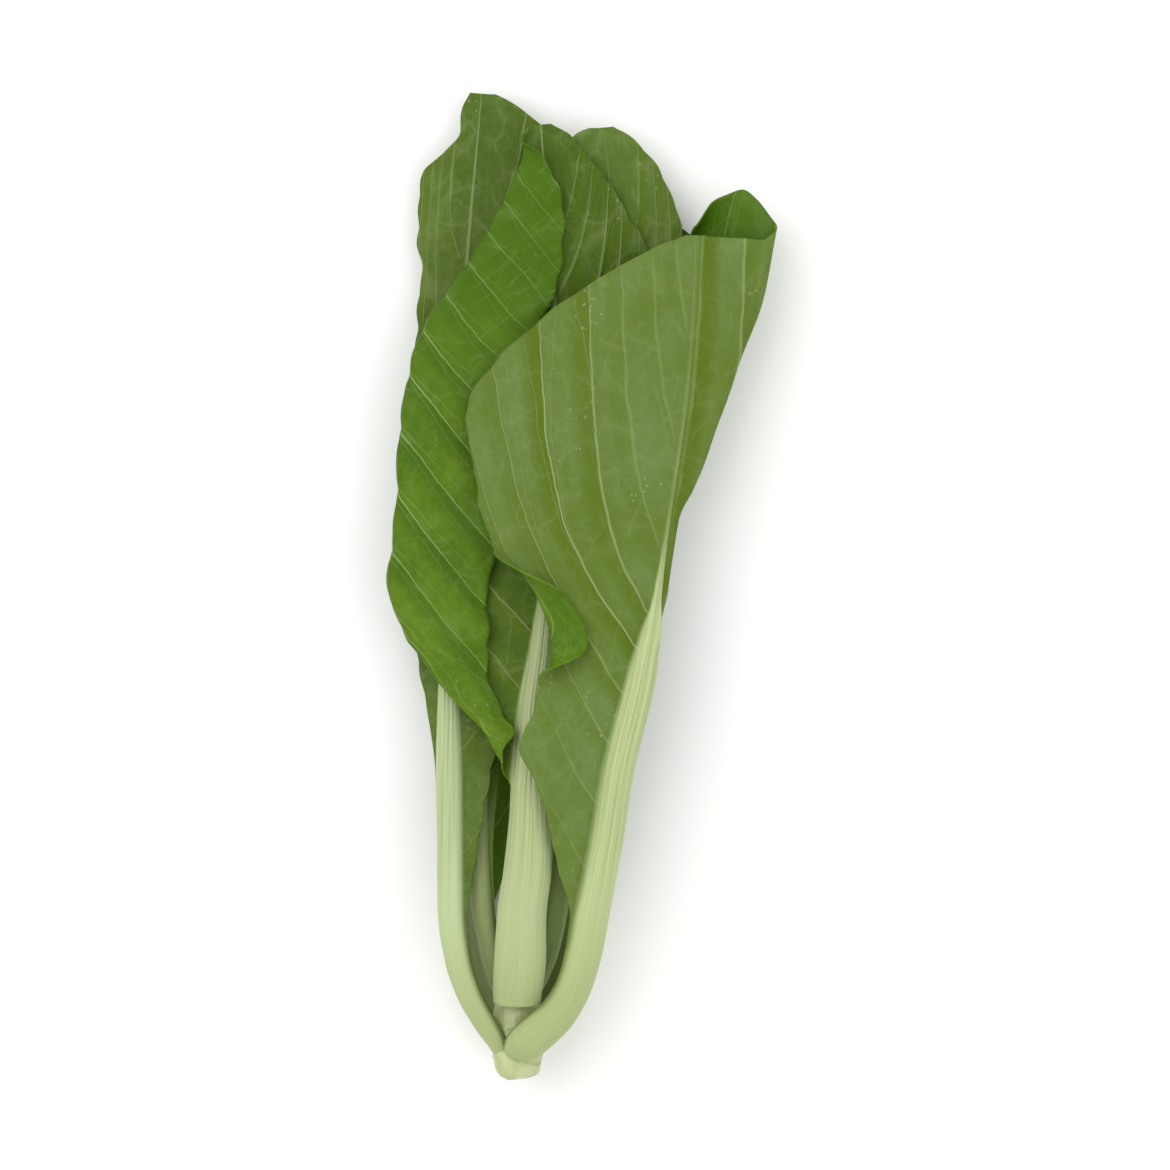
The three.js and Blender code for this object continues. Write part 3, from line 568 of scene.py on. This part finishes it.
# The middle leaf. Its left half is folded over towards the eye and shows its inner side.
outerLeafFront = {
    "ribDepth": 0.82,
    "spine": [[22.9, 0, 27.9, 0], [25, 0, 28.3, 0], [30, 0.4, 31, 0], [36, 0.9, 33.2, 0], [50, 1.4, 35.2, -1],
      [63, 3.1, 35.8, -2], [76, 3.9, 35.4, -3], [90, 4.2, 34.2, -4], [111, 5.2, 31.2, -4],
      [128, 7.3, 28.8, -3], [160, 10, 25.2, -1], [207, 12, 21.4, 0], [242, 10.5, 19.8, 0], [275, 8, 19.2, 0],
      [288, 7, 19, 0]],
    "rib": [[22.9, 6.9], [25, 7.1], [36, 7.6], [50, 7.1], [63, 6.8], [76, 6.2], [90, 5.4], [111, 4.5],
      [128, 3.4], [150, 2.3], [200, 1.5], [250, 0.9], [288, 0.6]],
    "left": {
      "veinsTurnBack": True,
      "veins": [[56, 115, 1.2, 0.7], [76, 115, 1.2, 0.9], [95, 112, 1.2, 1.0], [113, 110, 1.2, 0.8],
                [131, 106, 1.2, 1.0], [149, 100, 1.15, 0.9], [168, 92, 1.1, 1.0], [187, 82, 1.05, 0.8],
                [206, 70, 1.0, 0.6], [224, 56, 0.95, 0.5], [241, 42, 0.9, 0.4], [257, 28, 0.8, 0.35],
                [271, 16, 0.7, 0.3]],
      "reach": [[22.9, 7.1], [25, 7.3], [36, 7.9], [63, 7.3], [88, 6.2], [94, 11], [100, 18], [106, 29],
        [113, 43], [127, 65], [138, 74], [150, 78], [190, 82], [214, 83], [228, 77], [240, 64], [256, 45],
        [270, 26], [280, 13], [288, 3]],
      "bow": [[25, 36], [63, 30], [90, 16], [111, 4], [288, 2]],
      "fold": [[86, 0, 5.6], [94, -90, 6], [102, -165, 10], [110, -183, 20], [118, -183, 30],
        [130, -183, 39], [148, -183, 44.5], [190, -183, 44], [214, -183, 42], [228, -183, 37],
        [240, -183, 28], [256, -183, 17], [270, -183, 8], [280, -120, 4], [288, 0, 2]],
      "foldRadius": 2.1,
    },
    "right": {
      "veinCount": 9,
      "reach": [[22.9, 7.1], [25, 7.3], [36, 7.9], [63, 7.3], [90, 6.6], [105, 9], [120, 15], [140, 23],
        [170, 30], [205, 36], [235, 34], [258, 25], [275, 15], [284, 8], [288, 3]],
      "bow": [[25, 36], [63, 30], [90, 16], [128, 14], [288, 12]],
    },
    "bladeFrom": 84, "rowsFine": 330, "columnsFine": 74, "ribDepth": 0.82, "ridgeCount": 9,
    "stalkSpread": 1.3,
    "thickness": 0.55, "pillow": 1.0, "swell": 0.6, "ruffle": 0.9, "ruffleDepth": 16, "toothDepth": 1.1,
    "toothLength": 11,
    # painted shade: the outer side's blade colours are darkened for the shadow this side lies in
    "look": {"outer": {"bladePale": (0.1, 0.165, 0.022), "bladeDark": (0.056, 0.106, 0.01),
                       "ribFadeFrom": 140, "gloss": 0.07, "veins": 0.42, "net": 0.2,
                       "valleyShade": 0.5, "toneAtTip": 0.15},
             "inner": {}},
}
makeLeaf("outer_leaf_front", outerLeafFront, 10)


# The narrow leaf on the left, which runs up behind the middle one.
outerLeafLeft = {
    "ribDepth": 0.85,
    "spine": [[7, -2.5, 20.2, -60], [13, -6.9, 24, -60], [18, -10, 25.2, -60], [26, -14.3, 26.8, -56],
      [36, -17.6, 27.6, -50],
      [50, -19.6, 27.8, -40], [72, -20, 27.2, -26], [92, -20.4, 25.2, -15], [112, -20.6, 22, -9],
      [140, -20.4, 17, -6], [190, -19, 12.4, -4], [240, -16, 10.6, -3], [298, -11, 11, -3]],
    "rib": [[7, 3.6], [13, 3.8], [20, 4.2], [50, 4.4], [92, 4.2], [112, 3.6], [140, 2.5], [190, 1.5],
      [250, 0.9], [298, 0.6]],
    "left": {
      "reach": [[7, 3.8], [13, 4], [36, 4.6], [92, 4.7], [112, 7], [140, 12], [190, 15], [240, 13.5],
        [263, 16], [273, 15], [280, 9], [286, 5.5], [294, 5], [298, 3.5]],
      "bow": [[13, 38], [50, 30], [92, 20], [140, 16], [298, 14]],
    },
    "right": {
      "reach": [[7, 3.8], [13, 4], [36, 4.4], [48, 5], [62, 7], [80, 10], [100, 14], [130, 23], [165, 31],
        [205, 36], [245, 36], [270, 31], [285, 23], [293, 14], [298, 4]],
      "bow": [[13, 38], [50, 30], [92, 20], [140, 18], [298, 16]],
    },
    "bladeFrom": 60, "rowsFine": 260, "columnsFine": 50, "ribDepth": 0.85, "ridgeCount": 6,
    "thickness": 0.5, "pillow": 0.6, "swell": 0.8, "ruffle": 1.0, "ruffleDepth": 12, "toothDepth": 1.3,
    "toothLength": 10,
    "look": {"outer": {"bladePale": (0.1, 0.155, 0.03), "bladeDark": (0.06, 0.105, 0.01),
                       "stalkColour": (0.45, 0.53, 0.29), "veins": 0.42, "net": 0.2}, "inner": {}},
}
makeLeaf("outer_leaf_left", outerLeafLeft, 17)


# A leaf from inside the head, seen only above the two front ones.
innerLeafRight = {
    "ribDepth": 0.8,
    "spine": [[24, 3.2, 20.5, 70], [29, 6, 21.5, 70], [40, 9.5, 23.2, 55], [60, 12.6, 24.8, 38],
      [90, 15.4, 24, 22],
      [120, 18.4, 21.4, 12], [160, 23, 17.6, 6], [210, 28, 14.6, 3], [250, 29.5, 14, 0],
      [287.5, 26, 14.4, 0]],
    "rib": [[24, 2.9], [29, 3.4], [60, 4], [90, 3.6], [120, 2.8], [160, 2], [210, 1.3], [287.5, 0.6]],
    "left": {
      "reach": [[24, 3.1], [29, 3.6], [60, 4.4], [80, 7], [110, 11], [150, 16], [200, 20], [240, 21],
        [265, 19], [278, 15], [285, 9], [287.5, 4]],
      "bow": [[29, 34], [60, 28], [120, 14], [287.5, 10]],
    },
    "right": {
      "reach": [[24, 3.1], [29, 3.6], [60, 4.4], [80, 7], [110, 11], [150, 15], [200, 20], [240, 22],
        [258, 20], [270, 16], [279, 11], [285, 6], [287.5, 3]],
      "bow": [[29, 34], [60, 28], [120, 14], [287.5, 14]],
    },
    "bladeFrom": 75, "rowsFine": 230, "columnsFine": 46, "ribDepth": 0.8, "ridgeCount": 5,
    "thickness": 0.5, "pillow": 0.6, "swell": 0.7, "ruffle": 1.0, "ruffleDepth": 12, "toothDepth": 1.0,
    "toothLength": 9,
    # painted shade: the stalk and foot colours are darkened for the shade deep under the front leaves
    "look": {"outer": {"bladePale": (0.1, 0.16, 0.03), "bladeDark": (0.07, 0.12, 0.012), "veins": 0.42,
                       "net": 0.2, "stalkColour": (0.17, 0.235, 0.07), "footColour": (0.2, 0.26, 0.09)},
             "inner": {}},
}
makeLeaf("inner_leaf_right", innerLeafRight, 24)


# A leaf from inside the head. Its stalk shows between the left and the middle ones, its colours darkened and
# greyed as painted shade.
innerLeafLeft = {
    "ribDepth": 0.8,
    "spine": [[24, -3.2, 20.5, -65], [29, -6, 21.5, -65], [40, -8.6, 23, -50], [55, -10.8, 23.8, -32],
      [75, -12, 21.8, -18],
      [100, -12, 17.4, -8], [130, -10.4, 12.8, -4], [170, -9, 8.8, -2], [205, -8, 7.4, 0],
      [236, -8, 7, 0]],
    "rib": [[24, 2.7], [29, 3.2], [55, 3.6], [75, 3.4], [100, 2.8], [130, 2.1], [170, 1.4], [236, 0.6]],
    "left": {
      "reach": [[24, 2.9], [29, 3.4], [55, 4], [75, 5], [100, 8], [130, 12], [170, 18], [200, 19],
        [220, 15], [231, 8],
        [236, 3]],
      "bow": [[29, 34], [55, 28], [100, 14], [236, 6]],
    },
    "right": {
      "reach": [[24, 2.9], [29, 3.4], [55, 4], [75, 5], [100, 7], [130, 10], [170, 14], [200, 15],
        [220, 12], [231, 7],
        [236, 3]],
      "bow": [[29, 34], [55, 28], [100, 14], [236, 6]],
    },
    "bladeFrom": 85, "rowsFine": 180, "columnsFine": 36, "ribDepth": 0.8, "ridgeCount": 5,
    "thickness": 0.5, "pillow": 0.5, "swell": 0.5, "ruffle": 0.6, "ruffleDepth": 10, "toothDepth": 1.0,
    "toothLength": 9,
    # painted shade: the stalk and foot colours are darkened for the shade between the leaves
    "look": {"outer": {"stalkColour": (0.25, 0.3, 0.125), "footColour": (0.22, 0.27, 0.105)}, "inner": {}},
}
makeLeaf("inner_leaf_left", innerLeafLeft, 31)


# A young leaf inside the head, with its outer side down.
heartLeafLarge = {
    "ribDepth": 0.8,
    "spine": [[28, 1.2, 18.2, 165], [33, 2.2, 16.4, 165], [50, 3.4, 15.2, 168], [80, 7.4, 12.6, 172],
      [120, 14.8, 10.4, 176],
      [160, 23.4, 9, 178], [196, 29, 8.6, 180]],
    "rib": [[28, 2], [33, 2.4], [80, 2.4], [120, 1.7], [196, 0.6]],
    "left": {
      "reach": [[28, 2.2], [33, 2.6], [70, 3.4], [100, 7], [135, 14], [165, 16], [182, 12], [192, 6],
        [196, 2.5]],
      "bow": [[33, 24], [70, 18], [120, 6], [196, 4]],
    },
    "right": {
      "reach": [[28, 2.2], [33, 2.6], [70, 3.4], [100, 7], [135, 11], [165, 11], [182, 8], [192, 4.5],
        [196, 2.5]],
      "bow": [[33, 24], [70, 18], [120, 6], [196, 4]],
    },
    "bladeFrom": 65, "rowsFine": 140, "columnsFine": 26, "ribDepth": 0.8, "ridgeCount": 4,
    "thickness": 0.45, "pillow": 0.4, "swell": 0.3, "ruffle": 0.5, "ruffleDepth": 7, "toothDepth": 0.7,
    "toothLength": 7,
    "look": {"outer": {}, "inner": {}},
}
makeLeaf("heart_leaf_large", heartLeafLarge, 38)


# The youngest leaf, in the middle of the head.
heartLeafSmall = {
    "ribDepth": 0.8,
    "spine": [[30, -0.4, 20.2, 0], [35, -0.6, 22, 0], [50, 0.4, 22, 4], [80, 3.4, 18.8, 4],
      [118, 7, 15.4, 2]],
    "rib": [[30, 1.7], [35, 2], [60, 2], [90, 1.4], [118, 0.6]],
    "left": {
      "reach": [[30, 1.9], [35, 2.2], [60, 3], [80, 5.6], [98, 6.6], [110, 5], [115, 3.4], [118, 1.8]],
      "bow": [[35, 24], [60, 26], [118, 20]],
    },
    "right": {
      "reach": [[30, 1.9], [35, 2.2], [60, 3], [80, 5.6], [98, 6.6], [110, 5], [115, 3.4], [118, 1.8]],
      "bow": [[35, 24], [60, 26], [118, 20]],
    },
    "bladeFrom": 58, "rowsFine": 100, "columnsFine": 20, "ribDepth": 0.8, "ridgeCount": 4,
    "thickness": 0.45, "pillow": 0.3, "swell": 0.2, "ruffle": 0.3, "ruffleDepth": 5, "toothDepth": 0.6,
    "toothLength": 6,
    "look": {"outer": {"bladePale": (0.24, 0.32, 0.08)}, "inner": {}},
}
makeLeaf("heart_leaf_small", heartLeafSmall, 45)


# The two leaves that the head lies on, with their outer sides down.
underLeafRight = {
    "ribDepth": 0.85,
    "spine": [[6, 2, 18.5, 130], [12, 6.1, 14.9, 130], [22, 10.6, 11, 134], [35, 14.4, 7.6, 144],
      [50, 16.8, 5, 154],
      [70, 18.6, 4, 166], [100, 21, 3.4, 173], [140, 25.4, 2.2, 177], [190, 32, 1.4, 180],
      [240, 37, 1.1, 180], [264, 38, 1.1, 180]],
    "rib": [[6, 4.3], [12, 4.8], [22, 5.4], [50, 5.6], [70, 5.2], [100, 4.2], [140, 2.7], [190, 1.6],
      [240, 1], [264, 0.7]],
    "left": {
      "reach": [[6, 4.5], [12, 5], [50, 6.2], [75, 9], [100, 12], [135, 14], [160, 16], [190, 22], [220, 28],
        [240, 26], [254, 17], [261, 8], [264, 3]],
      "bow": [[12, 34], [50, 28], [100, 14], [160, 8], [264, 5]],
    },
    "right": {
      "reach": [[6, 4.5], [12, 5], [50, 6.2], [75, 8], [100, 11], [135, 15], [170, 20], [220, 24], [240, 21],
        [254, 14], [261, 7], [264, 3]],
      "bow": [[12, 34], [50, 28], [100, 16], [160, 10], [264, 8]],
    },
    "bladeFrom": 70, "rowsFine": 220, "columnsFine": 46, "ribDepth": 0.85, "ridgeCount": 7,
    "thickness": 0.5, "pillow": 0.5, "swell": 0.15, "ruffle": 0.35, "ruffleDepth": 10, "toothDepth": 1.0,
    "toothLength": 11,
    # painted shade: the inner side's stalk and foot colours are darkened for the shade under the head
    "look": {"outer": {}, "inner": {"stalkColour": (0.14, 0.2, 0.05), "footColour": (0.16, 0.21, 0.07)}},
}
makeLeaf("under_leaf_right", underLeafRight, 52)


# Its neighbour on the left.
underLeafLeft = {
    "ribDepth": 0.85,
    "spine": [[6, -2, 18.5, -135], [12, -5.7, 14.3, -135], [22, -9.6, 10.8, -140], [35, -12.6, 7.4, -150],
      [50, -13.6, 5, -160], [70, -13.6, 4, -170], [100, -12.6, 3.4, -175], [140, -11, 2.2, -178],
      [190, -10, 1.4, -180], [235, -10.6, 1.1, -180], [268, -11, 1.1, -180]],
    "rib": [[6, 4.3], [12, 4.8], [22, 5.4], [50, 5.6], [70, 5.2], [100, 4.2], [140, 2.7], [190, 1.6],
      [235, 1], [268, 0.7]],
    "left": {
      "reach": [[6, 4.5], [12, 5], [50, 6.2], [62, 10], [75, 14], [100, 15], [140, 14], [190, 14], [225, 15],
        [250, 12], [263, 7], [268, 3]],
      "bow": [[12, 34], [50, 28], [100, 16], [160, 8], [268, 6]],
    },
    "right": {
      "reach": [[6, 4.5], [12, 5], [50, 6.2], [75, 9], [100, 12], [140, 18], [190, 23], [225, 20],
        [248, 16], [262, 9],
        [268, 3]],
      "bow": [[12, 34], [50, 28], [100, 14], [160, 8], [268, 6]],
    },
    "bladeFrom": 70, "rowsFine": 220, "columnsFine": 42, "ribDepth": 0.85, "ridgeCount": 7,
    "thickness": 0.5, "pillow": 0.5, "swell": 0.15, "ruffle": 0.35, "ruffleDepth": 10, "toothDepth": 1.0,
    "toothLength": 10,
    "look": {"outer": {}, "inner": {}},
}
makeLeaf("under_leaf_left", underLeafLeft, 59)


# The short cut stem: a knobbly stub with knife cuts across its end and scars where lower leaves came off.
stem = {
    "radius": 7.2, "height": 20, "low": -1.6,
    "profile": [[-1.6, 0.58], [0.4, 0.82], [3, 0.95], [7, 1.0], [19, 1.0], [26, 0.78], [32, 0.5], [35, 0.0]],
    "cuts": [{"turn": 60, "tilt": 22, "depth": -0.6}, {"turn": 235, "tilt": 18, "depth": -0.8}],
    "scars": [[6.5, 40, 5.0], [9.0, 170, 4.5], [7.5, 290, 5.5], [13, 100, 4.0]],
    "colour": (0.5, 0.53, 0.28), "cutColour": (0.52, 0.52, 0.31), "shadeColour": (0.39, 0.44, 0.19),
    "stainColour": (0.36, 0.33, 0.16),
}


def stemMaterial(look):
    material = bpy.data.materials.new("stemFlesh")
    material.use_nodes = True
    tree = material.node_tree
    tree.nodes.clear()
    place = addNode(tree, "ShaderNodeTexCoord").outputs["Object"]
    cut = addNode(tree, "ShaderNodeAttribute", attribute_name="cutShare").outputs["Fac"]
    patches = noise(tree, place, 160.0, 4.0)
    threads = noise(tree, stretched(tree, place, (900.0, 60.0, 900.0)), 1.0, 2.0)
    skin = blend(tree, ramp(tree, patches, 0.35, 0.65), look["shadeColour"], look["colour"])
    skin = blend(tree, maths(tree, "MULTIPLY", ramp(tree, threads, 0.45, 0.7), 0.4), skin, look["cutColour"])
    spots = ramp(tree, noise(tree, place, 420.0, 2.0), 0.4, 0.65)
    pith = blend(tree, spots, look["cutColour"], look["stainColour"])
    colour = blend(tree, cut, skin, pith)
    height = maths(tree, "ADD", threads, maths(tree, "MULTIPLY", patches, 1.2))
    bump = addNode(tree, "ShaderNodeBump", {"Height": height, "Strength": 0.5, "Distance": 0.0006})
    roughness = ramp(tree, patches, 0.3, 0.7, 0.35, 0.55)
    surface = addNode(tree, "ShaderNodeBsdfPrincipled", {
        "Base Color": colour, "Roughness": roughness, "Normal": bump.outputs[0]})
    surface.inputs["Subsurface Weight"].default_value = 0.2
    surface.inputs["Subsurface Radius"].default_value = (1.0, 1.0, 0.5)
    surface.inputs["Subsurface Scale"].default_value = 0.002
    output = tree.nodes.new("ShaderNodeOutputMaterial")
    tree.links.new(surface.outputs[0], output.inputs[0])
    return material


def makeStem(look):
    deselectAll()
    bpy.ops.mesh.primitive_uv_sphere_add(segments=128, ring_count=110, radius=1)
    piece = bpy.context.object
    piece.name = "cut_stem_flesh"
    piece.data.name = piece.name
    mesh = piece.data
    co = np.empty(len(mesh.vertices) * 3)
    mesh.vertices.foreach_get("co", co)
    co = co.reshape(-1, 3)
    share = np.clip(np.arccos(np.clip(-co[:, 2], -1, 1)) / math.pi, 0, 1)
    angle = np.arctan2(co[:, 1], co[:, 0])
    y = look["low"] + smooth(share) * (stemTip - look["low"])
    radius = along(look["profile"], y) * look["radius"] * np.clip(share / 0.09, 0, 1)
    radius = radius * np.clip((1 - share) / 0.05, 0, 1)
    for at, turn, size in look["scars"]:
        off = np.angle(np.exp(1j * (angle - math.radians(turn)))) * look["radius"]
        ring = np.hypot(off, (y - at) * 1.6)
        radius += 0.5 * np.exp(-((ring - size) / 0.8) ** 2) - 0.3 * np.exp(-(ring / size) ** 2)
    radius += 0.25 * waves(11, y, angle * look["radius"], (5, 14))
    shaped = np.stack([np.cos(angle) * radius, y, np.sin(angle) * radius], axis=1)
    cutShare = np.zeros(len(shaped))
    for cut in look["cuts"]:
        tilt, turn = math.radians(cut["tilt"]), math.radians(cut["turn"])
        facing = np.array([math.sin(turn) * math.sin(tilt), math.cos(tilt), math.cos(turn) * math.sin(tilt)])
        beyond = np.clip(cut["depth"] - shaped @ facing, 0, None)
        shaped += beyond[:, None] * facing
        cutShare = np.maximum(cutShare, smooth(beyond / 0.3))
    shaped[:, 2] += look["height"]
    mesh.vertices.foreach_set("co", (shaped * mm + headPlace).ravel())
    layer = mesh.attributes.new("cutShare", "FLOAT", "POINT")
    layer.data.foreach_set("value", cutShare.astype(np.float32))
    bpy.ops.object.mode_set(mode="EDIT")
    bpy.ops.mesh.select_all(action="SELECT")
    bpy.ops.mesh.remove_doubles(threshold=0.00001)
    bpy.ops.mesh.normals_make_consistent(inside=False)
    bpy.ops.object.mode_set(mode="OBJECT")
    bpy.ops.object.shade_smooth_by_angle(angle=math.radians(32))
    mesh.materials.append(stemMaterial(look))
    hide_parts("cut_stem")
    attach(piece, "root")
    print("stem made")


makeStem(stem)

# Floor, light and camera.
studio = {
    "frameWidth": 0.352, "lens": 200, "floorColour": (0.93, 0.93, 0.92), "worldStrength": 0.9,
    "keyPower": 9.0, "keyPlace": (-0.6, 0.45, 1.3), "keySize": 1.2,
    "fillPower": 4.5, "fillPlace": (0.7, -0.3, 1.3), "fillSize": 1.4,
}


def makeFloor(look):
    deselectAll()
    bpy.ops.mesh.primitive_plane_add(size=4, location=(0, 0, -0.0003))
    floor = bpy.context.object
    floor.name = "floor"
    bpy.ops.object.transform_apply(location=True)
    material = bpy.data.materials.new("paleFloor")
    material.use_nodes = True
    tree = material.node_tree
    surface = tree.nodes["Principled BSDF"]
    surface.inputs["Roughness"].default_value = 0.8
    surface.inputs["Base Color"].default_value = (*look["floorColour"], 1)
    floor.data.materials.append(material)


def addLight(name, power, place, size):
    deselectAll()
    bpy.ops.object.light_add(type="AREA", location=place)
    light = bpy.context.object
    light.name = name
    light.data.energy = power
    light.data.size = size
    aim = np.array(place, float)
    light.rotation_euler = (math.atan2(np.hypot(aim[0], aim[1]), aim[2]), 0, math.atan2(aim[0], -aim[1]))


def makeStudio(look):
    makeFloor(look)
    addLight("keyLight", look["keyPower"], look["keyPlace"], look["keySize"])
    addLight("fillLight", look["fillPower"], look["fillPlace"], look["fillSize"])
    scene = bpy.context.scene
    world = bpy.data.worlds.new("softRoom")
    world.use_nodes = True
    world.node_tree.nodes["Background"].inputs[0].default_value = (1, 1, 1, 1)
    world.node_tree.nodes["Background"].inputs[1].default_value = look["worldStrength"]
    scene.world = world
    scene.view_settings.view_transform = "Standard"
    low, high = cadBox
    centre = (low + high) / 2
    distance = look["frameWidth"] * look["lens"] / 36
    bpy.ops.object.camera_add(location=(centre[0], centre[1], high[2] * 0.6 + distance), rotation=(0, 0, 0))
    camera = bpy.context.object
    camera.data.lens = look["lens"]
    camera.data.clip_start = 0.05
    scene.camera = camera
    print("studio ready")


makeStudio(studio)

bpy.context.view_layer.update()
